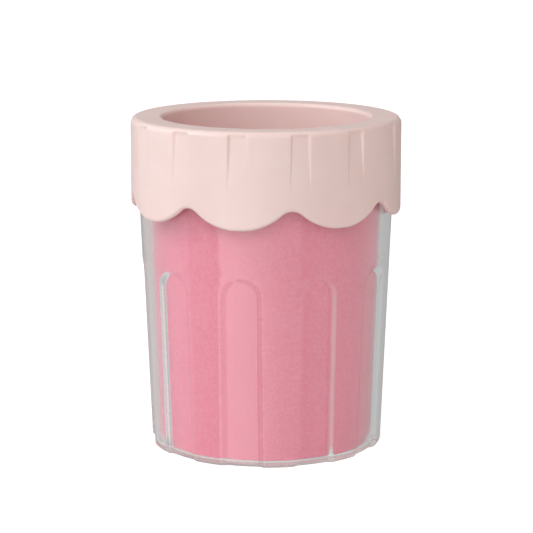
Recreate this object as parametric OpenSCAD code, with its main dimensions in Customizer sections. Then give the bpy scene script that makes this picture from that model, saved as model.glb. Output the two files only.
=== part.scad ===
// Paw washer cup: a clear fluted tumbler holding a coloured inner cup, a silicone
// bristle sleeve and a screw-down collar shaped like dripping icing.
// Millimetres. Z runs up the axis of the cup and Z = 0 is the underside of the foot ring.

/* [Overall] */
// Height of the closed cup, underside to the top of the collar
total_h = 120; // [116:1:126]
// Outside diameter of the collar
collar_d = 97.2; // [97:0.1:102]
// Diameter of the paw opening
opening_d = 74.4; // [73:0.1:77.4]

/* [Outer shell] */
// Outside diameter of the shell at its base
shell_base_d = 83.9; // [82:0.1:85]
// Outside diameter of the shell at its rim
shell_rim_d = 91; // [90.6:0.1:91]
// Wall thickness of the shell between the flutes
shell_wall = 2.7; // [2.4:0.1:2.8]
// Number of flutes round the shell
flute_count = 10; // [6:1:12]
// Width of one flute
flute_w = 13.8; // [8:0.2:16]
// Depth of one flute below the outside face
flute_depth = 1.3; // [0.4:0.1:1.5]
// Height of the top of the flute arch
flute_top_z = 68.7; // [40:0.1:80]

/* [Collar] */
// Number of lobes along the lower edge of the skirt
lobe_count = 8; // [6:1:10]
// Height of the lowest point of a lobe
lobe_tip_z = 85.8; // [84:0.1:90]
// Radius of the arc that bounds a lobe
lobe_r = 23.3; // [22:0.1:28]
// Radius of the rounded notch between two lobes
notch_r = 5.5; // [2:0.1:8]
// Number of pleats pressed into the skirt
pleat_count = 14; // [6:1:20]
// Width of one pleat
pleat_w = 6.4; // [3:0.1:9]
// Depth of a pleat at its upper end
pleat_depth = 0.9; // [0.3:0.1:1.2]
// Length of a pleat, from its upper end to where it runs out
pleat_len = 17; // [10:1:22]

/* [Screw thread] */
// Number of thread starts
thread_starts = 4; // [3:1:4]
// Rise of the collar in one full turn
thread_lead = 24; // [22:1:24]
// Angle covered by one thread ridge
thread_arc = 72; // [60:1:74]
// Angle covered by one lug of the screw ring
lug_arc = 20; // [12:1:22]

/* [Bristles] */
// Number of bristle rows up the sleeve
bristle_rows = 11; // [6:1:11]
// Number of bristles in one row
bristles_per_row = 20; // [12:1:24]
// Length of a sleeve bristle
bristle_len = 10; // [6:0.5:12]

/* [Hidden] */

$fn = 96;
bristle_fn = 14;       // sides of a bristle
cut = 1;               // how far a cutting shape runs past the face it cuts
bond = 0.3;            // how far a ridge or a bristle sinks into the wall that carries it
slip = 0.1;            // radial clearance of a running fit

// Outer shell
foot_proud = 0.4;                        // the foot ring lifts the shell off the table
shell_z = foot_proud;
shell_rim_z = 103.5;
shell_base_r = shell_base_d / 2;
shell_rim_r = shell_rim_d / 2;
shell_taper_top_z = 86;                  // above this height the shell is cylindrical
shell_base_fillet = 1.8;
shell_floor_z = 2;
shell_bore_r = shell_rim_r - shell_wall;
shell_floor_r = shell_base_r - shell_wall;
foot_in_r = 30;
foot_out_r = 36;
foot_groove_depth = 0.7;
foot_side_gap = 0.05;

// Inner cup
cup_wall = 1.7;
cup_under_z = shell_floor_z + 0.05;
cup_floor_z = cup_under_z + 1.7;
cup_base_r = 38.4;
cup_draft = 0.032;                       // growth of the cup radius per unit of height
cup_base_fillet = 0.8;
stud_r = 3;
stud_h = 2.6;
plug_z = 96;                             // the thick plug that fills the shell's bore
plug_r = shell_bore_r - 0.3;
seal_groove_z = 98;
seal_groove_h = 2;
seal_groove_r = plug_r - 1.6;
shoulder_h = 2.5;                        // the shoulder rests on the shell's rim
shoulder_r = shell_rim_r - slip;
ledge_z = shell_rim_z + 1;               // the brush hoop rests on this inner ledge
ledge_in_r = 38.75;
neck_in_r = 41.6;
neck_out_r = 43.2;
neck_top_z = 113.5;
key_w = 6;                               // keys between shell, inner cup and brush hoop
key_z = 100.5;
key_gap = 0.3;
key_out_r = 40.4;
key_count = 4;

// Screw thread between the neck and the screw ring
ridge_crest_r = 44.2;
ridge_h = 1.5;
ridge_start_z = 107.2;
ridge_crest_h = 0.9;
lug_drop = 1.1;                          // the lug's underside is this far below the ridge's
lug_crest_r = neck_out_r + 0.25;
lug_h = 1.4;
lug_offset_deg = 4;                      // the lug sits this far past the ridge's lower end
facet_deg = 4;                           // step of the faceted helices

// Collar
collar_r = collar_d / 2;
opening_r = opening_d / 2;
skirt_in_r = 45.9;
skirt_len = total_h - lobe_tip_z;
lobe_overrun = 0.1;
top_t = 3.2;
top_fillet = 2.2;
lip_fillet = 1.5;
lip_out_r = 40.2;
lip_low_z = 109;
snap_z = 112;
snap_h = 1.4;
snap_depth = 0.6;
ring_in_r = 44.6;
ring_low_z = 106.2;
ring_plate_t = 1.8;
ring_plate_in_r = 40.5;
bond_gap = 0.05;                         // filled by the bond between the ring and the cover
ring_out_r = skirt_in_r - bond_gap;
ring_top_z = total_h - top_t - bond_gap;
gasket_in_r = 41.65;
gasket_gap = 0.02;                       // the real gasket is squeezed here
gasket_out_r = neck_out_r - 0.1;

// Brush
hoop_out_r = neck_in_r - 0.3;
hoop_in_r = 38.9;
hoop_wall_in_r = lip_out_r + 0.2;
hoop_floor_h = 2;
hoop_top_z = snap_z + 1.2;
bead_in_r = lip_out_r - snap_depth + 0.15;
bead_h = 1;
finger_slot_w = 1.6;
finger_slots = 8;
sleeve_wall = 1.5;
sleeve_low_z = 7;
sleeve_low_r = 36.3;
sleeve_top_r = 37.6;
flange_r = hoop_wall_in_r - slip;
flange_h = 2;
bristle_root_r = 1.3;
bristle_tip_r = 0.8;
bristle_low_z = 14;
bristle_top_z = 99;
pad_r = 34;
pad_t = 1.8;
pad_bristle_len = 7;
pad_ring_gap = 9;                        // distance between the pad's rings of bristles
pad_rings = 3;
pad_per_ring = 8;                        // each ring has this many more bristles than the last

// Outside radius of the shell at height z
function shell_r(z) = shell_base_r
    + (shell_rim_r - shell_base_r) * min(1, (z - shell_z) / (shell_taper_top_z - shell_z));

// Outside radius of the inner cup at height z
function cup_r(z) = cup_base_r + cup_draft * z;

// Inner face of the sleeve wall at height z
function sleeve_in_r(z) = sleeve_low_r - sleeve_wall
    + (sleeve_top_r - sleeve_low_r) * (z - sleeve_low_z) / (ledge_z - sleeve_low_z);

// Plain ring between two radii and two heights
module ring(r_in, r_out, z0, z1) {
    translate([0, 0, z0])
        rotate_extrude()
            translate([r_in, 0])
                square([r_out - r_in, z1 - z0]);
}

// Solid cone or cylinder between two heights
module disc(z0, z1, r0, r1) {
    translate([0, 0, z0])
        cylinder(h = z1 - z0, r1 = r0, r2 = r1);
}

// Children repeated evenly round the axis
module around(count, phase = 0) {
    for (i = [0 : count - 1])
        rotate([0, 0, phase + i * 360 / count])
            children();
}

// A flat outline, drawn as x across and y up, pushed outwards through the wall at -Y
module through_wall(r_from, r_to) {
    translate([0, -r_from, 0])
        rotate([90, 0, 0])
            linear_extrude(r_to - r_from)
                children();
}

// A bar of width w through the wall at -Y
module bar(w, r_from, r_to, z0, z1) {
    translate([-w / 2, -r_to, z0])
        cube([w, r_to - r_from, z1 - z0]);
}

// Ridge with a sloped flank on both sides, climbing at the thread's lead.
// root and crest are radii; the section is root_h high at the root and crest_h at the crest.
module helix_ridge(root, crest, root_h, crest_h, z0, arc) {
    steps = ceil(arc / facet_deg);
    flank = (root_h - crest_h) / 2;
    section = [[root, 0], [crest, flank], [crest, flank + crest_h], [root, root_h]];
    corners = [for (i = [0 : steps]) for (p = section)
        let (a = arc * i / steps)
            [p[0] * cos(a), p[0] * sin(a), z0 + p[1] + thread_lead * a / 360]];
    turn = crest > root ? [3, 2, 1, 0] : [0, 1, 2, 3];
    sides = [for (i = [0 : steps - 1]) for (k = [0 : 3])
        let (a = 4 * i + turn[k], b = 4 * i + turn[(k + 1) % 4])
            [a, a + 4, b + 4, b]];
    ends = [[turn[0], turn[1], turn[2], turn[3]],
            [for (k = [3 : -1 : 0]) 4 * steps + turn[k]]];
    polyhedron(points = corners, faces = concat(sides, ends), convexity = 6);
}

// Half section of the shell's outside, with its rounded base edge
module shell_outline() {
    f = shell_base_fillet;
    polygon([[0, shell_z], [shell_base_r - f, shell_z], [shell_r(shell_z + f), shell_z + f],
             [shell_rim_r, shell_taper_top_z], [shell_rim_r, shell_rim_z], [0, shell_rim_z]]);
    translate([shell_r(shell_z + f) - f, shell_z + f])
        circle(r = f);
}

// Arch outline of one flute, running out past the base
module arch_outline() {
    spring_z = flute_top_z - flute_w / 2;
    translate([-flute_w / 2, -cut])
        square([flute_w, spring_z + cut]);
    translate([0, spring_z])
        circle(d = flute_w);
}

module flutes() {
    difference() {
        around(flute_count)
            through_wall(shell_floor_r - 2 * shell_wall, shell_rim_r + cut)
                arch_outline();
        disc(-2 * cut, shell_taper_top_z, shell_r(-2 * cut) - flute_depth, shell_rim_r - flute_depth);
    }
}

module outer_shell() {
    color([0.88, 0.93, 0.93, 0.4])
        difference() {
            rotate_extrude()
                shell_outline();
            disc(shell_floor_z, shell_taper_top_z, shell_floor_r, shell_bore_r);
            disc(shell_taper_top_z, shell_rim_z + cut, shell_bore_r, shell_bore_r);
            flutes();
            ring(foot_in_r, foot_out_r, shell_z - cut, shell_z + foot_groove_depth);
            around(key_count, 45)
                bar(key_w + 2 * key_gap, shell_bore_r - cut, shell_rim_r + cut,
                    key_z - key_gap, shell_rim_z + cut);
        }
}

module foot_ring() {
    color([0.92, 0.88, 0.88, 0.8])
        ring(foot_in_r + foot_side_gap, foot_out_r - foot_side_gap, 0, shell_z + foot_groove_depth);
}

// Half section of the inner cup's outside below the shoulder
module cup_outline() {
    f = cup_base_fillet;
    polygon([[0, cup_under_z], [cup_base_r - f, cup_under_z], [cup_r(cup_under_z + f), cup_under_z + f],
             [cup_r(plug_z), plug_z], [plug_r, plug_z + 1.5], [plug_r, shell_rim_z + bond],
             [0, shell_rim_z + bond]]);
    translate([cup_r(cup_under_z + f) - f, cup_under_z + f])
        circle(r = f);
}

module inner_cup() {
    color([0.91, 0.52, 0.61])
        union() {
            difference() {
                union() {
                    rotate_extrude()
                        cup_outline();
                    disc(shell_rim_z, shell_rim_z + shoulder_h, shoulder_r, shoulder_r);
                    disc(shell_rim_z, neck_top_z, neck_out_r, neck_out_r);
                    around(key_count, 45)
                        bar(key_w, plug_r - cut, shoulder_r - slip, key_z, shell_rim_z + bond);
                }
                disc(cup_floor_z, ledge_z, cup_r(cup_floor_z) - cup_wall, ledge_in_r);
                disc(ledge_z - bond, ledge_z, ledge_in_r, ledge_in_r);
                disc(ledge_z, neck_top_z + cut, neck_in_r, neck_in_r);
                ring(seal_groove_r, plug_r + cut, seal_groove_z, seal_groove_z + seal_groove_h);
                around(key_count)
                    bar(key_w, ledge_in_r - cut, key_out_r, key_z, ledge_z + cut);
            }
            disc(cup_floor_z - bond, cup_floor_z + stud_h, stud_r, stud_r);
            around(thread_starts)
                helix_ridge(neck_out_r - bond, ridge_crest_r, ridge_h, ridge_crest_h,
                            ridge_start_z, thread_arc);
        }
}

module shell_seal_ring() {
    seal_in_r = seal_groove_r + 0.05;
    seal_out_r = shell_bore_r - 0.03;
    color([0.86, 0.83, 0.81])
        ring(seal_in_r, seal_out_r, seal_groove_z + 0.1, seal_groove_z + seal_groove_h - 0.1);
}

module floor_brush() {
    pad_z = cup_floor_z + 0.05;
    color([0.95, 0.72, 0.76])
        difference() {
            union() {
                disc(pad_z, pad_z + pad_t, pad_r, pad_r);
                for (k = [1 : pad_rings])
                    around(pad_per_ring * k)
                        translate([pad_ring_gap * k, 0, pad_z + pad_t - bond])
                            cylinder(h = pad_bristle_len + bond, r1 = bristle_root_r,
                                     r2 = bristle_tip_r, $fn = bristle_fn);
            }
            disc(pad_z - cut, pad_z + pad_t + cut, stud_r + slip, stud_r + slip);
        }
}

module brush_sleeve() {
    flange_z = ledge_z + hoop_floor_h;
    row_gap = (bristle_top_z - bristle_low_z) / (bristle_rows - 1);
    color([0.96, 0.76, 0.78])
        union() {
            difference() {
                union() {
                    disc(sleeve_low_z, ledge_z, sleeve_low_r, sleeve_top_r);
                    disc(ledge_z, flange_z + bond, sleeve_top_r, sleeve_top_r);
                    disc(flange_z, flange_z + flange_h, flange_r, flange_r);
                }
                disc(sleeve_low_z - bond, ledge_z, sleeve_in_r(sleeve_low_z - bond), sleeve_in_r(ledge_z));
                disc(ledge_z - bond, flange_z + flange_h + cut, sleeve_in_r(ledge_z), sleeve_in_r(ledge_z));
            }
            for (row = [0 : bristle_rows - 1])
                around(bristles_per_row, row % 2 * 180 / bristles_per_row)
                    translate([0, -sleeve_in_r(bristle_low_z + row * row_gap) - bond,
                               bristle_low_z + row * row_gap])
                        rotate([-90, 0, 0])
                            cylinder(h = bristle_len + bond, r1 = bristle_root_r,
                                     r2 = bristle_tip_r, $fn = bristle_fn);
        }
}

module brush_hoop() {
    floor_top_z = ledge_z + hoop_floor_h;
    color([0.93, 0.87, 0.85])
        difference() {
            union() {
                ring(hoop_in_r, hoop_out_r, ledge_z, floor_top_z);
                ring(hoop_wall_in_r, hoop_out_r, ledge_z, hoop_top_z);
                ring(bead_in_r, hoop_wall_in_r + bond, hoop_top_z - bead_h, hoop_top_z);
                around(key_count)
                    bar(key_w - 2 * key_gap, hoop_in_r + slip, key_out_r - 2 * slip,
                        key_z + key_gap, ledge_z + bond);
            }
            disc(key_z - cut, ledge_z + bond, hoop_in_r, hoop_in_r);
            around(finger_slots, 180 / finger_slots)
                bar(finger_slot_w, bead_in_r - cut, hoop_out_r + cut, floor_top_z + cut, hoop_top_z + cut);
        }
}

module rim_gasket() {
    color([0.90, 0.86, 0.84])
        ring(gasket_in_r, gasket_out_r, neck_top_z + gasket_gap, ring_top_z - ring_plate_t - gasket_gap);
}

module collar_screw_ring() {
    lug_z = ridge_start_z - lug_drop + thread_lead * lug_offset_deg / 360;
    color([0.90, 0.82, 0.80])
        union() {
            ring(ring_in_r, ring_out_r, ring_low_z, ring_top_z);
            ring(ring_plate_in_r, ring_out_r, ring_top_z - ring_plate_t, ring_top_z);
            around(thread_starts, lug_offset_deg)
                helix_ridge(ring_in_r + bond, lug_crest_r, lug_h, ridge_crest_h, lug_z, lug_arc);
        }
}

// Half section of the collar cover before the lobes and pleats are cut
module cover_outline() {
    difference() {
        union() {
            translate([skirt_in_r, lobe_tip_z])
                square([collar_r - skirt_in_r, skirt_len - top_fillet]);
            translate([opening_r + lip_fillet, total_h - top_t])
                square([collar_r - top_fillet - opening_r - lip_fillet, top_t]);
            translate([opening_r, lip_low_z])
                square([lip_out_r - opening_r, skirt_len - (lip_low_z - lobe_tip_z) - lip_fillet]);
            translate([opening_r + lip_fillet, total_h - lip_fillet])
                circle(r = lip_fillet);
            translate([collar_r - top_fillet, total_h - top_t])
                square([top_fillet, top_t - top_fillet]);
            translate([collar_r - top_fillet, total_h - top_fillet])
                intersection() {
                    circle(r = top_fillet);
                    square(top_fillet);
                }
        }
        translate([lip_out_r - snap_depth, snap_z])
            square([snap_depth + cut, snap_h]);
    }
}

// Outline of the gap between two lobes: two lobe arcs joined by a rounded notch.
// The arcs reach a little below the skirt, which leaves each lobe a short flat tip.
module notch_outline() {
    half_pitch = collar_r * sin(180 / lobe_count);
    lobe_z = lobe_tip_z - lobe_overrun + lobe_r;
    reach = lobe_r + notch_r;
    rise = sqrt(reach * reach - half_pitch * half_pitch);
    notch_z = lobe_z - rise;
    touch_z = notch_z + rise * notch_r / reach;
    difference() {
        translate([-half_pitch, lobe_tip_z - cut])
            square([2 * half_pitch, touch_z - lobe_tip_z + cut]);
        for (side = [-1, 1])
            translate([side * half_pitch, lobe_z])
                circle(r = lobe_r);
    }
    translate([0, notch_z])
        circle(r = notch_r);
}

// Cutter for one pleat: deepest at its upper end, running out to nothing below
module pleat() {
    upper_z = total_h - top_fillet / 2;
    translate([0, -collar_r, upper_z - pleat_len])
        rotate([-atan(pleat_depth / pleat_len), 0, 0])
            translate([-pleat_w / 2, -2 * top_fillet, 0])
                cube([pleat_w, 2 * top_fillet, pleat_len]);
}

module collar_cover() {
    color([0.93, 0.83, 0.81])
        difference() {
            rotate_extrude()
                cover_outline();
            around(lobe_count, 180 / lobe_count)
                through_wall(skirt_in_r - 2 * top_t, collar_r + cut)
                    notch_outline();
            around(pleat_count)
                pleat();
        }
}

outer_shell();
foot_ring();
inner_cup();
shell_seal_ring();
floor_brush();
brush_sleeve();
brush_hoop();
rim_gasket();
collar_screw_ring();
collar_cover();
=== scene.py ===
"""Looks of the paw washer cup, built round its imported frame.

Metres, Z up, in the row's frame. Lengths below are in millimetres until they become
vertices. Angles round the cup are measured from -Y towards +X.
"""

import math

import bmesh
import bpy
import numpy as np
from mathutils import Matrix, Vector


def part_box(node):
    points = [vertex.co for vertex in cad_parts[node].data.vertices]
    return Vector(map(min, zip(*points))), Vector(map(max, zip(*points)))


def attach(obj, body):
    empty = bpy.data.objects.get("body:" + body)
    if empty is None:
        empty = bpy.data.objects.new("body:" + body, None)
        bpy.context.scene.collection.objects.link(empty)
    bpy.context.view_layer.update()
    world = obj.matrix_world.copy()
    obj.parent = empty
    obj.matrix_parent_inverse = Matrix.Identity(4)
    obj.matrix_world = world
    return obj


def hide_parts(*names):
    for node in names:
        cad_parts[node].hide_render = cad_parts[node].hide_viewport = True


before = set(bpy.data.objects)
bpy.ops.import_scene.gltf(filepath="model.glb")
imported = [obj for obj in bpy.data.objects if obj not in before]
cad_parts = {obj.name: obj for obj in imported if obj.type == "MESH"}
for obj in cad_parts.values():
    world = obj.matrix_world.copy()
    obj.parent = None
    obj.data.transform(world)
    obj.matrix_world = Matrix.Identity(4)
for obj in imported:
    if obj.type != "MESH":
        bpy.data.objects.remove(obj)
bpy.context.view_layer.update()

MM = 0.001


def node_mm(node):
    """Lowest and highest corner of a CAD node, in millimetres."""
    low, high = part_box(node)
    return low / MM, high / MM


# ---------------------------------------------------------------- dimensions
# Collar: a ring-shaped top, a skirt with pleats and lobes, and a lip inside the opening.
COLLAR_LOW, COLLAR_HIGH = node_mm("collar_cover")
COLLAR_R = COLLAR_HIGH.x
COLLAR_TOP = COLLAR_HIGH.z
LOBE_TIP_Z = COLLAR_LOW.z
LOBES = 8
LOBE_R = 23.3
LOBE_OVERRUN = 0.1
NOTCH_R = 5.5
SKIRT_T = 2.7
SKIRT_IN_R = COLLAR_R - SKIRT_T
TOP_T = 3.2
TOP_FILLET = 2.2
OPENING_R = 37.2
LIP_FILLET = 1.5
LIP_T = 3.0
LIP_LOW_Z = 109.0
LIP_EDGE_R = 0.6
LIP_BACK_EDGE_R = 0.4
SNAP_LOW_Z, SNAP_HIGH_Z, SNAP_DEPTH = 112.0, 113.4, 0.6
PLEATS = 14
PLEAT_HALF_W = 3.3
PLEAT_DEPTH = 0.95
PLEAT_LEN = 17.5
PLEAT_SLOPE = 1.15
PLEAT_SOFT = 0.28
PLEAT_FADE = 0.85 * TOP_FILLET
COLLAR_STEPS = 480
COLLAR_MIN_STEP = 0.0012

# Outer shell: a tapered tumbler with arched flutes and four key slots in its rim.
SHELL_LOW, SHELL_HIGH = node_mm("outer_shell")
SHELL_Z = SHELL_LOW.z
SHELL_RIM_Z = SHELL_HIGH.z
SHELL_RIM_R = 45.5
SHELL_BASE_R = 41.95
SHELL_TAPER_TOP_Z = 86.0
SHELL_WALL = 2.7
SHELL_FLOOR_Z = 2.0
SHELL_BASE_FILLET = 1.8
SHELL_FLOOR_FILLET = 1.2
SHELL_RIM_ROUND = 0.5
FLUTES = 10
FLUTE_HALF_W = 7.9
FLUTE_WALL_W = 2.5
FLUTE_DEPTH = 1.3
FLUTE_SPRING_Z = 61.3
ARCH_MARGIN = 6.0
FOOT_IN_R, FOOT_OUT_R, FOOT_GROOVE = 30.0, 36.0, 0.7
KEY_SLOT_W, KEY_SLOT_Z, KEY_SLOTS = 6.6, 100.2, 4
KEY_SLOT_START = math.radians(45)

# Bristle sleeve: rows of bristles in its bore and a flange at its top.
SLEEVE_LOW, SLEEVE_HIGH = node_mm("brush_sleeve")
SLEEVE_COLUMNS = 40
SLEEVE_ROWS = 11
SLEEVE_ROW_Z0, SLEEVE_ROW_GAP = 14.0, 8.5
SLEEVE_WALL = 1.5
SLEEVE_R_LOW, SLEEVE_R_TOP = 36.3, 37.6
SLEEVE_TAPER_TOP_Z = 104.5
FLANGE_R = SLEEVE_HIGH.x
FLANGE_T = 2.0

# Floor pad. PAD_HOLE and PAD_CELL are in ring gaps.
PAD_LOW, PAD_HIGH = node_mm("floor_brush")
PAD_R = PAD_HIGH.x
PAD_T = 1.8
PAD_RING_GAP = 9.0
PAD_RINGS = 3
PAD_HOLE = 0.38
PAD_CELL = 0.4

# Camera, in metres and radians, with its lens in millimetres.
CAMERA_AZIMUTH = math.radians(11.6)
CAMERA_DISTANCE = 0.800
CAMERA_HEIGHT = 0.2190
CAMERA_PITCH = 0.1906
CAMERA_SIDE = 0.0002
CAMERA_LENS = 151.33


# ---------------------------------------------------------------- mesh helpers
def shell_r(z):
    """Outside radius of the shell at height z."""
    share = np.clip((z - SHELL_Z) / (SHELL_TAPER_TOP_Z - SHELL_Z), 0, 1)
    return SHELL_BASE_R + (SHELL_RIM_R - SHELL_BASE_R) * share


def round_the_axis(r, angle, z):
    """Points at radius r and height z, at an angle measured from -Y towards +X."""
    r, angle, z = np.broadcast_arrays(r, angle, z)
    return np.stack([r * np.sin(angle), -r * np.cos(angle), z], axis=-1)


def arc(centre, radius, start_deg, end_deg, steps):
    """(r, z) points on an arc of a half section."""
    turn = np.radians(np.linspace(start_deg, end_deg, steps + 1))
    return np.stack([centre[0] + radius * np.cos(turn), centre[1] + radius * np.sin(turn)], axis=-1)


def line(start, end, steps):
    """(r, z) points on a straight stretch of a half section, both ends included."""
    share = np.linspace(0, 1, steps + 1)[:, None]
    return np.array(start) * (1 - share) + np.array(end) * share


def smooth_min(a, b, soft):
    """The lower of a and b, with the corner between them rounded."""
    h = np.clip(0.5 + 0.5 * (b - a) / soft, 0, 1)
    return b * (1 - h) + a * h - soft * h * (1 - h)


class Surface:
    """Collects grids of points, in millimetres, and welds them into one mesh."""

    def __init__(self):
        self.points = []
        self.faces = []
        self.slots = []
        self.count = 0

    def grid(self, points, slot=0, wrap_rows=False, wrap_columns=False):
        """points[row][column]; each cell becomes a quad."""
        rows, columns = points.shape[:2]
        index = self.count + np.arange(rows * columns).reshape(rows, columns)
        if wrap_rows:
            index = np.vstack([index, index[:1]])
        if wrap_columns:
            index = np.hstack([index, index[:, :1]])
        quads = np.stack([index[:-1, :-1], index[:-1, 1:], index[1:, 1:], index[1:, :-1]], axis=-1)
        self.faces += quads.reshape(-1, 4).tolist()
        self.slots += [slot] * (quads.size // 4)
        self.points.append(points.reshape(-1, 3))
        self.count += rows * columns

    def build(self, name, sharp_deg=40.0):
        """The welded object, with its normals outwards and its hard edges marked."""
        mesh = bpy.data.meshes.new(name)
        mesh.from_pydata((np.vstack(self.points) * MM).tolist(), [], self.faces)
        mesh.polygons.foreach_set("material_index", self.slots)
        bm = bmesh.new()
        bm.from_mesh(mesh)
        bmesh.ops.remove_doubles(bm, verts=bm.verts, dist=2e-6)
        bmesh.ops.dissolve_degenerate(bm, edges=bm.edges, dist=1e-7)
        bmesh.ops.recalc_face_normals(bm, faces=bm.faces)
        mark_hard_edges(bm, sharp_deg)
        bm.to_mesh(mesh)
        bm.free()
        obj = bpy.data.objects.new(name, mesh)
        bpy.context.scene.collection.objects.link(obj)
        return obj


def mark_hard_edges(bm, sharp_deg):
    """Smooth faces everywhere, with edges over sharp_deg kept crisp."""
    limit = math.radians(sharp_deg)
    for face in bm.faces:
        face.smooth = True
    for edge in bm.edges:
        edge.smooth = len(edge.link_faces) == 2 and edge.calc_face_angle(0.0) < limit


def subdivide(obj, levels):
    """Adds a subdivision surface of the same level in views and renders."""
    modifier = obj.modifiers.new("Subdivision", "SUBSURF")
    modifier.levels = modifier.render_levels = levels
    return obj


# ---------------------------------------------------------------- collar cover
def lobe_edge_z(angle):
    """Height of the skirt's lower edge: lobe arcs joined by rounded notches."""
    pitch = 2 * math.pi / LOBES
    across = COLLAR_R * np.abs(np.sin((angle % pitch) - pitch / 2))
    half = COLLAR_R * math.sin(pitch / 2)
    lobe_z = LOBE_TIP_Z - LOBE_OVERRUN + LOBE_R
    reach = LOBE_R + NOTCH_R
    rise = math.sqrt(reach ** 2 - half ** 2)
    touch = half * NOTCH_R / reach
    notch = lobe_z - rise + np.sqrt(np.maximum(NOTCH_R ** 2 - across ** 2, 0))
    lobe = lobe_z - np.sqrt(np.maximum(LOBE_R ** 2 - (half - across) ** 2, 0))
    return np.maximum(np.where(across < touch, notch, lobe), LOBE_TIP_Z)


def pleat_inset(angle, z):
    """How far the skirt is pressed in by the pleats at an angle and a height."""
    pitch = 2 * math.pi / PLEATS
    across = COLLAR_R * np.abs((angle + pitch / 2) % pitch - pitch / 2)
    top_z = COLLAR_TOP - TOP_FILLET
    depth = PLEAT_DEPTH * np.clip((z - top_z + PLEAT_LEN) / PLEAT_LEN, 0, 1)
    wall = PLEAT_SLOPE * np.maximum(PLEAT_HALF_W + PLEAT_SOFT - across, 0)
    soft = PLEAT_SOFT * np.clip(depth / PLEAT_DEPTH, 0.02, 1)
    fade = np.clip(1 - (z - top_z) / PLEAT_FADE, 0, 1)
    return np.maximum(smooth_min(depth, wall, soft), 0) * fade * fade * (3 - 2 * fade)


def collar_angles():
    """Even steps round the collar, with closer ones where the pleat walls stand.

    Steps under COLLAR_MIN_STEP radians are left out.
    """
    even = np.linspace(0, 2 * math.pi, COLLAR_STEPS, endpoint=False)
    walls = []
    for pleat in range(PLEATS):
        centre = 2 * math.pi * pleat / PLEATS
        for side in (-1, 1):
            middle = PLEAT_HALF_W - 0.5 * PLEAT_DEPTH / PLEAT_SLOPE
            steps = middle + np.linspace(-0.85, 0.95, 10)
            walls.append((centre + side * steps / COLLAR_R) % (2 * math.pi))
    angles = np.unique(np.round(np.concatenate([even] + walls), 6))
    gaps = np.diff(np.append(angles, angles[0] + 2 * math.pi))
    return angles[gaps > COLLAR_MIN_STEP]


def collar_section(angle):
    """Closed half section of the collar at one angle, as (r, z) points.

    The small offsets beside corners place mesh rings that keep the corners tight.
    """
    edge = lobe_edge_z(angle)
    edge_r = SKIRT_T / 2
    plate_z = COLLAR_TOP - TOP_T
    lip_out = OPENING_R + LIP_T
    groove_r = lip_out - SNAP_DEPTH
    skirt = line((COLLAR_R, COLLAR_TOP - TOP_FILLET), (COLLAR_R, edge + edge_r), 42)
    top_round = arc((COLLAR_R - TOP_FILLET, COLLAR_TOP - TOP_FILLET), TOP_FILLET, 90, 0, 12)
    outside = np.vstack([top_round, skirt[1:]])
    outside[:, 0] -= pleat_inset(angle, outside[:, 1])
    return np.vstack([
        arc((OPENING_R + LIP_EDGE_R, LIP_LOW_Z + LIP_EDGE_R), LIP_EDGE_R, 270, 180, 3),
        line((OPENING_R, LIP_LOW_Z + LIP_EDGE_R + 0.3),
             (OPENING_R, COLLAR_TOP - LIP_FILLET - 0.2), 6),
        arc((OPENING_R + LIP_FILLET, COLLAR_TOP - LIP_FILLET), LIP_FILLET, 180, 90, 8),
        line((OPENING_R + LIP_FILLET + 0.3, COLLAR_TOP),
             (COLLAR_R - TOP_FILLET - 0.3, COLLAR_TOP), 4),
        outside,
        arc((COLLAR_R - edge_r, edge + edge_r), edge_r, -12, -168, 9),
        line((SKIRT_IN_R, edge + edge_r), (SKIRT_IN_R, plate_z), 8),
        line((SKIRT_IN_R - 0.3, plate_z), (lip_out, plate_z), 3),
        line((lip_out, SNAP_HIGH_Z + 0.2), (lip_out, SNAP_HIGH_Z), 1),
        line((groove_r, SNAP_HIGH_Z - 0.1), (groove_r, SNAP_LOW_Z + 0.1), 1),
        line((lip_out, SNAP_LOW_Z), (lip_out, LIP_LOW_Z + 0.5), 1),
        arc((lip_out - LIP_BACK_EDGE_R, LIP_LOW_Z + LIP_BACK_EDGE_R), LIP_BACK_EDGE_R, 0, -90, 3),
    ])


def make_collar():
    """The icing collar: one closed section swept round, with its edge and pleats by angle."""
    angles = collar_angles()
    sections = np.stack([collar_section(a) for a in angles])
    surface = Surface()
    surface.grid(round_the_axis(sections[:, :, 0], angles[:, None], sections[:, :, 1]),
                 wrap_rows=True, wrap_columns=True)
    return surface.build("collar_icing", sharp_deg=50)


# ---------------------------------------------------------------- outer shell
def flute_inset(outwards):
    """Depth of the flute at a distance outwards of its outline."""
    share = np.clip(-outwards / FLUTE_WALL_W, 0, 1)
    return FLUTE_DEPTH * share * share * (3 - 2 * share)


def shell_rows():
    """(z, radius) down a leg of a flute: spring line, wall and rounded base edge."""
    fillet_z = SHELL_Z + SHELL_BASE_FILLET
    wall_z = np.linspace(FLUTE_SPRING_Z, fillet_z, 22)
    wall = np.stack([wall_z, shell_r(wall_z)], axis=-1)
    turn = np.radians(np.linspace(0, 90, 8))[1:]
    edge_z = fillet_z - SHELL_BASE_FILLET * np.sin(turn)
    edge_r = shell_r(fillet_z) - SHELL_BASE_FILLET * (1 - np.cos(turn))
    return np.vstack([wall, np.stack([edge_z, edge_r], axis=-1)])


ARCH_TOP_Z = FLUTE_SPRING_Z + FLUTE_HALF_W + ARCH_MARGIN
SECTOR = math.pi / FLUTES


def arch_rays():
    """Directions of the mesh lines that fan out of the arch, one of them through each corner."""
    side = float(shell_r(ARCH_TOP_Z)) * math.sin(SECTOR)
    corner = math.atan2(ARCH_TOP_Z - FLUTE_SPRING_Z, side)
    low = np.linspace(0, corner, 9)
    high = np.linspace(corner, math.pi / 2, 9)[1:]
    right = np.concatenate([low, high])
    return np.concatenate([right, (math.pi - right[:-1])[::-1]]), corner


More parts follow.
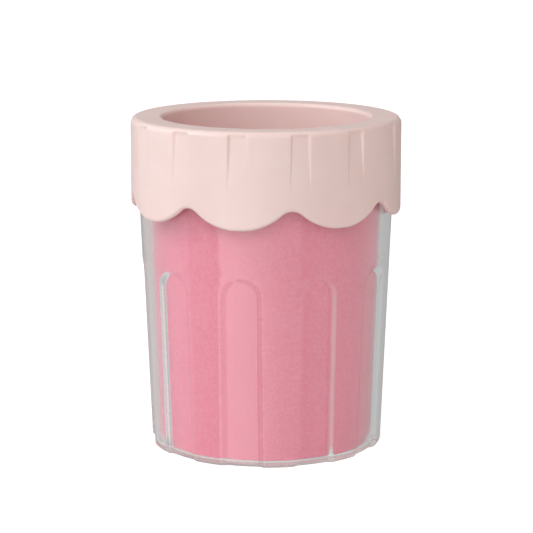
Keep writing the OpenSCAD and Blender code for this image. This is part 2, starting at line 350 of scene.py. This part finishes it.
def arch_border(ray, corner):
    """Where a ray from the arch's centre leaves the sector, as (x, z)."""
    side = float(shell_r(ARCH_TOP_Z)) * math.sin(SECTOR)
    if min(ray, math.pi - ray) < corner - 1e-9:
        z = FLUTE_SPRING_Z + side * abs(math.tan(ray))
        return math.copysign(float(shell_r(z)) * math.sin(SECTOR), math.cos(ray)), z
    return (ARCH_TOP_Z - FLUTE_SPRING_Z) / math.tan(ray), ARCH_TOP_Z


# Mesh lines along a flute: how far each lies outwards of the flute's outline.
FLUTE_OFFSETS = np.concatenate([
    [3.6, 2.0, 1.0, 0.4, 0.12], -FLUTE_WALL_W * np.linspace(0, 1, 11),
    [-2.7, -3.1, -3.8, -4.8, -6.2, -FLUTE_HALF_W]])


def flute_lines():
    """Rows of (x, z, radius) across one sector: up the left leg, over and down the right.

    Each row runs from the sector's border, over the flute's wall, to its centre line.
    """
    rays, corner = arch_rays()
    rows = []
    legs = shell_rows()
    widths = FLUTE_HALF_W + FLUTE_OFFSETS
    for z, r in legs[::-1]:
        x = -np.concatenate([[r * math.sin(SECTOR)], widths])
        rows.append(np.stack([x, np.full_like(x, z), np.full_like(x, r)], axis=-1))
    for ray in rays[::-1][1:-1]:
        bx, bz = arch_border(ray, corner)
        x = np.concatenate([[bx], widths * math.cos(ray)])
        z = np.concatenate([[bz], FLUTE_SPRING_Z + widths * math.sin(ray)])
        rows.append(np.stack([x, z, shell_r(z)], axis=-1))
    for z, r in legs:
        x = np.concatenate([[r * math.sin(SECTOR)], widths])
        rows.append(np.stack([x, np.full_like(x, z), np.full_like(x, r)], axis=-1))
    return np.stack(rows)


def shell_columns():
    """Angles of the mesh lines above the arches, over the whole shell."""
    rays, corner = arch_rays()
    tops = [arch_border(ray, corner)[0] for ray in rays
            if corner - 1e-9 <= ray <= math.pi - corner + 1e-9]
    angles = np.arcsin(np.array(sorted(tops)) / float(shell_r(ARCH_TOP_Z)))
    angles[0], angles[-1] = -SECTOR, SECTOR
    return np.concatenate([angles[:-1] + 2 * SECTOR * k for k in range(FLUTES)])


def add_flutes(surface):
    """The outside of the shell up to the top of the arches, and the underside."""
    lines = flute_lines()
    inset = np.concatenate([[0.0], flute_inset(FLUTE_OFFSETS)])
    angle = np.arcsin(lines[:, :, 0] / lines[:, :, 2])
    radius = lines[:, :, 2] - inset
    edge_angle = np.concatenate([angle[0], angle[-1][::-1]])
    edge_radius = np.concatenate([radius[0], radius[-1][::-1]])
    for k in range(FLUTES):
        turn = 2 * SECTOR * k
        surface.grid(round_the_axis(radius, angle + turn, lines[:, :, 1]))
        rings = [round_the_axis(edge_radius, edge_angle + turn, SHELL_Z)]
        for r in (FOOT_OUT_R + 2.5, FOOT_OUT_R):
            rings.append(round_the_axis(r, edge_angle + turn, SHELL_Z))
        for r in (FOOT_OUT_R, FOOT_IN_R):
            rings.append(round_the_axis(r, edge_angle + turn, SHELL_Z + FOOT_GROOVE))
        for r in (FOOT_IN_R, 20, 10, 0):
            rings.append(round_the_axis(r, edge_angle + turn, SHELL_Z))
        surface.grid(np.stack(rings))


def shell_inside():
    """(r, z) points from the rim down the bore to the middle of the floor."""
    bore = SHELL_RIM_R - SHELL_WALL
    floor_r = SHELL_BASE_R - SHELL_WALL
    fillet = SHELL_FLOOR_FILLET
    edge = SHELL_RIM_ROUND
    return np.vstack([
        arc((bore + edge, SHELL_RIM_Z - edge), edge, 90, 180, 4),
        line((bore, SHELL_RIM_Z - 1.2), (bore, SHELL_TAPER_TOP_Z), 4),
        line((bore, SHELL_TAPER_TOP_Z - 1), (floor_r + 0.06, SHELL_FLOOR_Z + fillet), 18),
        arc((floor_r - fillet, SHELL_FLOOR_Z + fillet), fillet, 0, -90, 5)[1:],
        line((floor_r - fillet - 1, SHELL_FLOOR_Z), (0, SHELL_FLOOR_Z), 6),
    ])


def add_upper_wall(surface):
    """The outside from the arches to the rim, then the rim, the bore and the floor."""
    columns = shell_columns()
    z = np.concatenate([np.linspace(ARCH_TOP_Z, SHELL_TAPER_TOP_Z, 6),
                        np.linspace(SHELL_TAPER_TOP_Z, SHELL_RIM_Z - SHELL_RIM_ROUND, 6)[1:]])
    outside = np.stack([shell_r(z), z], axis=-1)
    rim_centre = (SHELL_RIM_R - SHELL_RIM_ROUND, SHELL_RIM_Z - SHELL_RIM_ROUND)
    rim = arc(rim_centre, SHELL_RIM_ROUND, 0, 90, 4)[1:]
    outer = np.vstack([outside, rim])
    inner = shell_inside()
    for section, slot in ((outer, 0), (np.vstack([outer[-1:], inner[:1]]), 0), (inner, 1)):
        surface.grid(round_the_axis(section[:, :1], columns[None, :], section[:, 1:]),
                     slot=slot, wrap_columns=True)


def cut_key_slots(obj):
    """Four slots in the rim that hold the inner cup's keys."""
    cutter = bmesh.new()
    depth = SHELL_WALL + 2
    for k in range(KEY_SLOTS):
        angle = KEY_SLOT_START + 2 * math.pi / KEY_SLOTS * k
        made = bmesh.ops.create_cube(cutter, size=1)["verts"]
        height = 2 * (SHELL_RIM_Z - KEY_SLOT_Z)
        for v in made:
            r = SHELL_RIM_R - SHELL_WALL / 2 + v.co.y * depth
            x = v.co.x * KEY_SLOT_W
            v.co = Vector((r * math.sin(angle) + x * math.cos(angle),
                           -r * math.cos(angle) + x * math.sin(angle),
                           KEY_SLOT_Z + height / 2 + v.co.z * height)) * MM
    mesh = bpy.data.meshes.new("key_slots")
    cutter.to_mesh(mesh)
    cutter.free()
    tool = bpy.data.objects.new("key_slots", mesh)
    bpy.context.scene.collection.objects.link(tool)
    modifier = obj.modifiers.new("Key slots", "BOOLEAN")
    modifier.object = tool
    modifier.operation = "DIFFERENCE"
    modifier.solver = "EXACT"
    bpy.context.view_layer.update()
    graph = bpy.context.evaluated_depsgraph_get()
    cut = bpy.data.meshes.new_from_object(obj.evaluated_get(graph))
    obj.modifiers.clear()
    obj.data = cut
    bpy.data.objects.remove(tool)
    return obj


def make_shell():
    """The clear fluted tumbler, one closed wall. Slot 0 is polished, slot 1 is the satin bore."""
    surface = Surface()
    add_flutes(surface)
    add_upper_wall(surface)
    return cut_key_slots(surface.build("clear_shell", sharp_deg=50))


# ---------------------------------------------------------------- silicone brushes
# (distance from the wall, half width) along a bristle 10 mm long.
BRISTLE_STEPS = ((0.0, 1.95), (0.45, 1.55), (1.6, 1.38), (5.5, 1.18), (9.0, 0.98), (10.0, 0.62))


def grow_bristle(bm, face, direction, stretch=1.0):
    """Pulls one cage face out into a tapered bristle, its length scaled by stretch."""
    centre = face.calc_center_median()
    corners = list(face.verts)
    normal = Vector(direction).normalized()
    along = [(v.co - centre).normalized() for v in corners]
    current = face
    for distance, half in BRISTLE_STEPS:
        made = bmesh.ops.extrude_discrete_faces(bm, faces=[current])["faces"][0]
        for v, out in zip(made.verts, along):
            v.co = centre + out * (half * math.sqrt(2) * MM) + normal * (distance * stretch * MM)
        current = made


def cage_object(name, bm):
    """A subdivided object from a closed cage."""
    bmesh.ops.recalc_face_normals(bm, faces=bm.faces)
    for face in bm.faces:
        face.smooth = True
    mesh = bpy.data.meshes.new(name)
    bm.to_mesh(mesh)
    bm.free()
    obj = bpy.data.objects.new(name, mesh)
    bpy.context.scene.collection.objects.link(obj)
    return subdivide(obj, 2)


def sleeve_section():
    """Closed cage section (r, z) of the sleeve, and the index of its first bristle cell."""
    low, high = SLEEVE_LOW.z, SLEEVE_HIGH.z
    half = SLEEVE_ROW_GAP / 4

    def outer(z):
        share = min(max((z - low) / (SLEEVE_TAPER_TOP_Z - low), 0), 1)
        return SLEEVE_R_LOW + (SLEEVE_R_TOP - SLEEVE_R_LOW) * share

    cells = [SLEEVE_ROW_Z0 - half + 2 * half * k for k in range(2 * SLEEVE_ROWS)]
    inside_z = [low, low + 0.5, low + 2.5] + cells + [high - 3.5, high - 0.5, high]
    inside = [(outer(z) - SLEEVE_WALL, z) for z in inside_z]
    rim = [(FLANGE_R - 0.5, high), (FLANGE_R, high), (FLANGE_R, high - FLANGE_T),
           (FLANGE_R - 0.5, high - FLANGE_T), (SLEEVE_R_TOP + 0.4, high - FLANGE_T),
           (SLEEVE_R_TOP, high - FLANGE_T), (SLEEVE_R_TOP, high - FLANGE_T - 0.5)]
    outside = [(outer(z), z) for z in np.linspace(SLEEVE_TAPER_TOP_Z - 2, low + 0.5, 7)]
    return inside + rim + outside + [(outer(low), low)], 3


def make_sleeve():
    """The bristle sleeve: a closed cage whose bore has cells pulled out into bristles."""
    section, first = sleeve_section()
    step = 2 * math.pi / SLEEVE_COLUMNS
    swell = 1 / (2 / 3 + math.cos(step) / 3)
    bm = bmesh.new()
    rings = []
    for column in range(SLEEVE_COLUMNS):
        angle = (column - 0.5) * step
        rings.append([bm.verts.new(Vector((r * swell * math.sin(angle),
                                           -r * swell * math.cos(angle), z)) * MM)
                      for r, z in section])
    bristles = []
    count = len(section)
    for column in range(SLEEVE_COLUMNS):
        here, there = rings[column], rings[(column + 1) % SLEEVE_COLUMNS]
        for k in range(count):
            after = (k + 1) % count
            face = bm.faces.new((here[k], here[after], there[after], there[k]))
            row, odd = divmod(k - first, 2)
            if 0 <= row < SLEEVE_ROWS and not odd and (row + column) % 2 == 0:
                bristles.append((face, column * step))
    bmesh.ops.recalc_face_normals(bm, faces=bm.faces)
    for face, angle in bristles:
        grow_bristle(bm, face, (-math.sin(angle), math.cos(angle), 0))
    return cage_object("bristle_sleeve", bm)


def disc_point(u, v, z):
    """A square grid point carried onto a disc, so that square rings become round ones."""
    reach = max(abs(u), abs(v))
    if reach < 1e-9:
        return Vector((0, 0, z)) * MM
    if abs(u) >= abs(v):
        angle = math.pi / 4 * v / u + (math.pi if u < 0 else 0)
    else:
        angle = math.pi / 2 - math.pi / 4 * u / v + (math.pi if v < 0 else 0)
    r = reach * PAD_RING_GAP
    return Vector((r * math.cos(angle), r * math.sin(angle), z)) * MM


def pad_lines():
    """Grid lines of the pad, in ring gaps: a narrow cell at each ring and a wide one between."""
    half = PAD_CELL / 2
    lines = [half, PAD_HOLE]
    for ring in range(1, PAD_RINGS + 1):
        lines += [ring - half, ring + half]
    lines += [PAD_R / PAD_RING_GAP - 0.05, PAD_R / PAD_RING_GAP]
    return [-x for x in reversed(lines)] + lines


def make_pad():
    """The round bristle pad on the cup's floor, with a hole for the stud in its middle."""
    lines = pad_lines()
    low = PAD_LOW.z
    levels = (low + PAD_T, low)
    bm = bmesh.new()
    sheets = [{(i, j): bm.verts.new(disc_point(u, v, z))
               for i, u in enumerate(lines) for j, v in enumerate(lines)} for z in levels]
    bristles = []

    def in_hole(i, j):
        middle = [(lines[k] + lines[k + 1]) / 2 for k in (i, j)]
        return max(abs(m) for m in middle) < PAD_HOLE

    cells = [(i, j) for i in range(len(lines) - 1) for j in range(len(lines) - 1)
             if not in_hole(i, j)]
    filled = set(cells)
    for i, j in cells:
        ring = ((i, j), (i + 1, j), (i + 1, j + 1), (i, j + 1))
        top = bm.faces.new([sheets[0][c] for c in ring])
        bm.faces.new([sheets[1][c] for c in reversed(ring)])
        u, v = ((lines[k] + lines[k + 1]) / 2 for k in (i, j))
        centred = abs(u - round(u)) < 0.05 and abs(v - round(v)) < 0.05
        if centred and max(abs(round(u)), abs(round(v))) <= PAD_RINGS:
            bristles.append(top)
        for a, b, beside in ((ring[0], ring[1], (i, j - 1)), (ring[1], ring[2], (i + 1, j)),
                             (ring[2], ring[3], (i, j + 1)), (ring[3], ring[0], (i - 1, j))):
            if beside not in filled:
                bm.faces.new((sheets[0][b], sheets[0][a], sheets[1][a], sheets[1][b]))
    loose = [v for v in bm.verts if not v.link_faces]
    bmesh.ops.delete(bm, geom=loose, context="VERTS")
    stretch = (PAD_HIGH.z - low - PAD_T) / BRISTLE_STEPS[-1][0]
    for face in bristles:
        grow_bristle(bm, face, (0, 0, 1), stretch)
    return cage_object("bristle_pad", bm)


# ---------------------------------------------------------------- materials
class Shader:
    """A short way to write the node tree of a material or of the world."""

    def __init__(self, name, world=False):
        self.owner = (bpy.data.worlds if world else bpy.data.materials).new(name)
        self.owner.use_nodes = True
        self.tree = self.owner.node_tree
        self.tree.nodes.clear()
        self.output = self.add("ShaderNodeOutputWorld" if world else "ShaderNodeOutputMaterial")

    def add(self, kind, values=None, **settings):
        """A node with its settings and its input values; a value that is a socket is linked."""
        node = self.tree.nodes.new(kind)
        for key, value in settings.items():
            setattr(node, key, value)
        for key, value in (values or {}).items():
            if isinstance(value, bpy.types.NodeSocket):
                self.tree.links.new(value, node.inputs[key])
            else:
                node.inputs[key].default_value = value
        return node

    def place(self):
        """Object coordinates, in metres."""
        return self.add("ShaderNodeTexCoord").outputs["Object"]

    def along(self, axis, vector=None):
        """How far a vector, or else the shaded point, lies along an axis."""
        node = self.add("ShaderNodeVectorMath", {0: vector or self.place(), 1: tuple(axis)},
                        operation="DOT_PRODUCT")
        return node.outputs["Value"]

    def noise(self, size_mm, detail=2.0, roughness=0.5):
        """Noise from 0 to 1 with features about size_mm across."""
        node = self.add("ShaderNodeTexNoise", {"Vector": self.place(), "Scale": 1 / (size_mm * MM),
                                               "Detail": detail, "Roughness": roughness})
        return node.outputs["Fac"]

    def math(self, operation, a, b=0.0, c=0.0):
        """The result of a maths operation on numbers or sockets."""
        return self.add("ShaderNodeMath", {0: a, 1: b, 2: c}, operation=operation).outputs[0]

    def spread(self, value, low, high, start=0.3, end=0.7):
        """value from start to end becomes low to high."""
        node = self.add("ShaderNodeMapRange", {"Value": value, "From Min": start, "From Max": end,
                                               "To Min": low, "To Max": high})
        return node.outputs["Result"]

    def mix(self, share, a, b, blend_type="MIX"):
        """Colour a blended with colour b by share."""
        node = self.add("ShaderNodeMix", {0: share, 6: a, 7: b}, data_type="RGBA",
                        blend_type=blend_type)
        return node.outputs[2]

    def ramp(self, value, start, end):
        """Smoothly 0 to 1 while value goes from start to end."""
        node = self.add("ShaderNodeMapRange", {"Value": value, "From Min": start, "From Max": end},
                        interpolation_type="SMOOTHSTEP")
        return node.outputs["Result"]

    def band(self, value, start, end, soft_start, soft_end):
        """1 between start and end, 0 outside, with soft edges."""
        rise = self.ramp(value, start - soft_start, start + soft_start)
        fall = self.ramp(value, end - soft_end, end + soft_end)
        return self.math("SUBTRACT", rise, fall)

    def bump(self, height, strength, distance_mm):
        """A normal roughened by a height from 0 to 1, distance_mm deep."""
        node = self.add("ShaderNodeBump", {"Height": height, "Strength": strength,
                                           "Distance": distance_mm * MM})
        return node.outputs["Normal"]

    def finish(self, surface):
        """Links the surface to the output and gives back the material or world."""
        self.tree.links.new(surface, self.output.inputs["Surface"])
        return self.owner


def rgb(r, g, b):
    """A linear colour with full alpha."""
    return (r, g, b, 1.0)


def icing_plastic():
    """Pale pink moulded plastic: satin gloss, faintly mottled, lit a little from within."""
    s = Shader("icing_plastic")
    mottle = s.noise(9, 3)
    fine = s.noise(0.7, 3)
    colour = s.mix(s.spread(mottle, 0, 1), rgb(0.79, 0.61, 0.575), rgb(0.81, 0.635, 0.605))
    skin = s.math("ADD", s.math("MULTIPLY", s.noise(2.2, 2), 0.8), s.math("MULTIPLY", fine, 0.2))
    body = s.add("ShaderNodeBsdfPrincipled", {
        "Base Color": colour,
        "Roughness": s.spread(fine, 0.36, 0.46),
        "Normal": s.bump(skin, 0.10, 0.05),
        "Subsurface Weight": 0.18,
        "Subsurface Radius": (1.0, 0.45, 0.35),
        "Subsurface Scale": 0.003,
        "Coat Weight": 0.25,
        "Coat Roughness": 0.16,
        "IOR": 1.46,
    })
    return s.finish(body.outputs[0])


def clear_plastic(name, frosted):
    """Clear styrene: a satin, grainy bore, and a polished outside with faint handling marks.

    Lamp light passes straight through, so that what is inside is lit. Rays that bounce deep in the
    wall end in a painted grey glow.
    """
    s = Shader(name)
    if frosted:
        grain = s.noise(0.6, 2)
        rough = s.spread(grain, 0.08, 0.13, 0.35, 0.65)
        normal = s.bump(grain, 0.12, 0.01)
    else:
        rough = s.spread(s.noise(6, 4), 0.01, 0.035)
        normal = s.bump(s.noise(5, 1), 0.04, 0.05)
    glass = s.add("ShaderNodeBsdfPrincipled", {
        "Base Color": rgb(0.99, 0.995, 0.995),
        "Roughness": rough,
        "Transmission Weight": 1.0,
        "IOR": 1.49,
        "Normal": normal,
    })
    path = s.add("ShaderNodeLightPath")
    passing = s.math("MAXIMUM", path.outputs["Is Shadow Ray"], path.outputs["Is Diffuse Ray"])
    through = s.add("ShaderNodeBsdfTransparent", {"Color": rgb(0.98, 0.985, 0.985)})
    # Painted glow: a ray that has bounced more than five times shows an even grey emission,
    # standing for the light caught in the wall.
    caught = s.math("GREATER_THAN", path.outputs["Ray Depth"], 5.5)
    # The painted grey glow of the wall.
    inner = s.add("ShaderNodeEmission", {"Color": rgb(0.50, 0.52, 0.515), "Strength": 1.0})
    wall = s.add("ShaderNodeMixShader", {0: caught, 1: glass.outputs[0], 2: inner.outputs[0]})
    mixed = s.add("ShaderNodeMixShader", {0: passing, 1: wall.outputs[0], 2: through.outputs[0]})
    return s.finish(mixed.outputs[0])


def cup_plastic():
    """The coloured inner cup: satin, with the fine grain of a textured mould.

    Its underside has a faint painted glow, standing for the light that the clear base carries to
    it.
    """
    s = Shader("cup_plastic")
    facing = s.add("ShaderNodeNewGeometry").outputs["Normal"]
    # Share of painted glow: how far the face points down.
    underside = s.ramp(s.along((0, 0, -1), facing), 0.5, 0.95)
    grain = s.noise(0.7, 3, 0.7)
    cloud = s.noise(14, 2)
    base = s.mix(s.spread(cloud, 0, 1), rgb(0.78, 0.205, 0.295), rgb(0.80, 0.22, 0.31))
    colour = s.mix(s.spread(grain, 0, 0.6, 0.35, 0.65), base, rgb(0.86, 0.36, 0.44))
    body = s.add("ShaderNodeBsdfPrincipled", {
        "Base Color": colour,
        "Roughness": s.spread(grain, 0.30, 0.44),
        "Normal": s.bump(grain, 0.25, 0.03),
        "Subsurface Weight": 0.06,
        "Subsurface Radius": (1.0, 0.3, 0.3),
        "Subsurface Scale": 0.002,
        "IOR": 1.47,
        # Painted glow on the down-facing faces, standing for light carried in by the clear base.
        "Emission Color": rgb(0.75, 0.60, 0.60),
        "Emission Strength": s.math("MULTIPLY", underside, 0.17),
    })
    return s.finish(body.outputs[0])


def silicone(name, colour, pale, glow=0.0, rough=0.45):
    """Soft moulded silicone: satin, slightly cloudy, with a dusty bloom.

    glow is the strength of a painted glow that stands for light carried to it by the clear base.
    """
    s = Shader(name)
    cloud = s.noise(5, 3)
    dust = s.noise(0.3, 2)
    tint = s.mix(s.spread(cloud, 0, 1), rgb(*colour), rgb(*pale))
    body = s.add("ShaderNodeBsdfPrincipled", {
        "Base Color": tint,
        "Roughness": s.spread(dust, rough - 0.06, rough + 0.08),
        "Normal": s.bump(dust, 0.12, 0.02),
        "Subsurface Weight": 0.3,
        "Subsurface Radius": (1.0, 0.5, 0.45),
        "Subsurface Scale": 0.002,
        "Sheen Weight": 0.12,
        "IOR": 1.41,
        "Emission Color": tint,
        "Emission Strength": glow,
    })
    return s.finish(body.outputs[0])


def pale_plastic():
    """The pale fittings inside the collar: satin, with a fine mould texture."""
    s = Shader("pale_plastic")
    fine = s.noise(0.6, 3)
    colour = s.mix(s.spread(s.noise(7, 2), 0, 1), rgb(0.80, 0.56, 0.53), rgb(0.84, 0.62, 0.58))
    body = s.add("ShaderNodeBsdfPrincipled", {
        "Base Color": colour,
        "Roughness": s.spread(fine, 0.38, 0.52),
        "Normal": s.bump(fine, 0.12, 0.03),
        "IOR": 1.46,
    })
    return s.finish(body.outputs[0])


def dress(obj, *materials):
    """Gives an object its materials, one per slot."""
    slots = obj.data.materials
    while len(slots) < len(materials):
        slots.append(None)
    for slot, material in zip(obj.material_slots, materials):
        slot.link = "OBJECT"
        slot.material = material
    return obj


# ---------------------------------------------------------------- studio
def make_floor():
    """A wide pale floor: bright to the camera, with only a faint contact shadow."""
    s = Shader("studio_floor")
    speck = s.noise(2, 2)
    pale = s.add("ShaderNodeBsdfDiffuse", {
        "Color": s.mix(s.spread(speck, 0, 1), rgb(0.78, 0.78, 0.78), rgb(0.80, 0.80, 0.80))})
    soft = s.add("ShaderNodeBsdfDiffuse", {"Color": rgb(0.30, 0.30, 0.30)})
    glow = s.add("ShaderNodeEmission", {"Color": rgb(1, 1, 1), "Strength": 0.9})
    bright = s.add("ShaderNodeAddShader", {0: soft.outputs[0], 1: glow.outputs[0]})
    seen = s.add("ShaderNodeLightPath").outputs["Is Camera Ray"]
    mixed = s.add("ShaderNodeMixShader", {0: seen, 1: pale.outputs[0], 2: bright.outputs[0]})
    bm = bmesh.new()
    bmesh.ops.create_circle(bm, cap_ends=True, segments=96, radius=6.0)
    mesh = bpy.data.meshes.new("studio_floor")
    bm.to_mesh(mesh)
    bm.free()
    floor = bpy.data.objects.new("studio_floor", mesh)
    bpy.context.scene.collection.objects.link(floor)
    floor.data.materials.append(s.finish(mixed.outputs[0]))
    floor.visible_glossy = floor.visible_transmission = False


def around_camera(azimuth_deg, elevation_deg, distance):
    """A place seen from the cup at an angle right of the camera."""
    a = CAMERA_AZIMUTH + math.radians(azimuth_deg)
    e = math.radians(elevation_deg)
    return Vector((math.sin(a) * math.cos(e), -math.cos(a) * math.cos(e), math.sin(e))) * distance


def soft_light(name, azimuth, elevation, distance, width, height, power, colour):
    """A rectangular soft light that faces the cup."""
    lamp = bpy.data.lights.new(name, "AREA")
    lamp.shape = "RECTANGLE"
    lamp.size, lamp.size_y = width, height
    lamp.energy = power
    lamp.color = colour
    obj = bpy.data.objects.new(name, lamp)
    bpy.context.scene.collection.objects.link(obj)
    middle = Vector((0, 0, COLLAR_TOP * MM * 0.55))
    obj.location = middle + around_camera(azimuth, elevation, distance)
    obj.rotation_euler = (middle - obj.location).to_track_quat("-Z", "Y").to_euler()
    return obj


def make_lights():
    """One soft lamp high on the left, for the crisp highlights on the collar's edges."""
    soft_light("key_left", -72, 44, 0.9, 0.30, 0.22, 2.0, (1.0, 1.0, 1.0))


# Soft cards round the studio. Each row holds the azimuths where a card starts and ends, in
# degrees right of the camera as seen from the cup, how soft its edge is at each of them, its
# lower and upper elevation, and its radiance. Cards add up where they overlap. The floor hides
# the lower half from everything but reflections in the cup, so that half only draws the bands
# in the shell.
STUDIO_CARDS = (
    (-134, -75, 8, 3, -99, 0, (0.22, 0.23, 0.24)),
    (-104, -75, 10, 3, -99, 0, (0.34, 0.35, 0.36)),
    (-44, 33, 3, 3, -99, 0, (0.62, 0.64, 0.64)),
    (-44, -5, 3, 25, -99, 0, (1.5, 1.5, 1.4)),
    (45, 130, 12, 20, -99, 0, (0.42, 0.40, 0.38)),
    (-134, -75, 8, 3, 0, 38, (1.10, 1.24, 1.32)),
    (-44, 33, 3, 3, 0, 38, (1.05, 1.12, 1.12)),
    (-44, -5, 3, 12, 18, 45, (1.5, 1.5, 1.5)),
    (48, 125, 20, 20, 0, 50, (0.15, 0.02, 0.00)),
    (-181, 181, 1, 1, 60, 99, (0.75, 0.80, 0.80)),
)
CARD_SOFT_ELEVATION = 4
STUDIO_AMBIENT = (0.38, 0.35, 0.34)
# What the clear wall shows where it looks past the cup: in the middle, straight behind, to the
# left and right, and far to either side.
BACKDROP = (0.60, 0.63, 0.62)
BACKDROP_BEHIND = (0.28, 0.29, 0.29)
BACKDROP_LEFT = (0.70, 0.60, 0.60)
BACKDROP_RIGHT = (0.46, 0.49, 0.48)
BACKDROP_SIDE = (0.63, 0.64, 0.635)


def make_world():
    """White to the camera, a backdrop through the clear wall, soft cards for everything else."""
    s = Shader("studio", world=True)
    look = s.add("ShaderNodeTexCoord").outputs["Generated"]
    ahead = s.along(around_camera(0, 0, 1), look)
    right = s.along(around_camera(90, 0, 1), look)
    to_degrees = 180 / math.pi
    azimuth = s.math("MULTIPLY", s.math("ARCTAN2", right, ahead), to_degrees)
    elevation = s.math("MULTIPLY", s.math("ARCSINE", s.along((0, 0, 1), look)), to_degrees)
    light = rgb(*STUDIO_AMBIENT)
    for start, end, soft_start, soft_end, low, high, radiance in STUDIO_CARDS:
        round_share = s.band(azimuth, start, end, soft_start, soft_end)
        high_share = s.band(elevation, low, high, CARD_SOFT_ELEVATION, CARD_SOFT_ELEVATION)
        share = s.math("MULTIPLY", round_share, high_share)
        light = s.mix(share, light, rgb(*radiance), blend_type="ADD")
    backdrop = s.mix(s.ramp(right, 0.1, 0.5), rgb(*BACKDROP), rgb(*BACKDROP_RIGHT))
    backdrop = s.mix(s.ramp(right, -0.1, -0.5), backdrop, rgb(*BACKDROP_LEFT))
    turned = s.ramp(s.math("ABSOLUTE", right), 0.62, 0.82)
    backdrop = s.mix(turned, backdrop, rgb(*BACKDROP_SIDE))
    backdrop = s.mix(s.ramp(ahead, -0.93, -0.99), backdrop, rgb(*BACKDROP_BEHIND))
    path = s.add("ShaderNodeLightPath")
    shown = s.mix(path.outputs["Is Transmission Ray"], light, backdrop)
    shown = s.mix(path.outputs["Is Camera Ray"], shown, rgb(1, 1, 1))
    bpy.context.scene.world = s.finish(s.add("ShaderNodeBackground", {"Color": shown}).outputs[0])


def make_camera():
    """A long lens a little above the cup, turned slightly to its right."""
    data = bpy.data.cameras.new("camera")
    data.lens = CAMERA_LENS
    data.sensor_width = 36.0
    data.clip_start = 0.01
    data.clip_end = 100.0
    camera = bpy.data.objects.new("camera", data)
    bpy.context.scene.collection.objects.link(camera)
    camera.location = (around_camera(0, 0, CAMERA_DISTANCE) + around_camera(90, 0, CAMERA_SIDE)
                       + Vector((0, 0, CAMERA_HEIGHT)))
    camera.rotation_euler = (math.pi / 2 - CAMERA_PITCH, 0, CAMERA_AZIMUTH)
    bpy.context.scene.camera = camera


def set_look():
    """Plain colour handling, and enough bounces for the clear wall."""
    scene = bpy.context.scene
    scene.view_settings.view_transform = "Standard"
    scene.view_settings.look = "None"
    scene.cycles.max_bounces = 14
    scene.cycles.transmission_bounces = 12
    scene.cycles.transparent_max_bounces = 16
    scene.cycles.caustics_reflective = False
    scene.cycles.caustics_refractive = False


# ---------------------------------------------------------------- the cup
def make_cup():
    """Every shown piece, its finish and the body it rides on."""
    polished = clear_plastic("shell_polished", frosted=False)
    satin = clear_plastic("shell_satin", frosted=True)
    brush = silicone("brush_silicone", (0.86, 0.44, 0.47), (0.89, 0.52, 0.54))
    seal = silicone("seal_silicone", (0.74, 0.66, 0.64), (0.80, 0.73, 0.71))
    # The foot ring gets a painted glow for the light that the clear base carries to it.
    foot = silicone("foot_silicone", (0.86, 0.76, 0.75), (0.90, 0.82, 0.81), glow=0.20)
    fitting = pale_plastic()
    made = (
        (make_collar(), "collar", "collar_cover", "collar_plastic", (icing_plastic(),)),
        (make_shell(), "outer_shell", "outer_shell", "clear_shell", (polished, satin)),
        (make_sleeve(), "brush", "brush_sleeve", "brush_silicone", (brush,)),
        (make_pad(), "inner_cup", "floor_brush", "brush_silicone", (brush,)),
    )
    for obj, body, node, slot, materials in made:
        dress(obj, *materials)
        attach(obj, body)
        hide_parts(node)
    kept = {"inner_cup": cup_plastic(), "foot_ring": foot, "shell_seal_ring": seal,
            "rim_gasket": seal, "brush_hoop": fitting, "collar_screw_ring": fitting}
    for node, material in kept.items():
        dress(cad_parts[node], material)


make_cup()
make_floor()
make_lights()
make_world()
make_camera()
set_look()
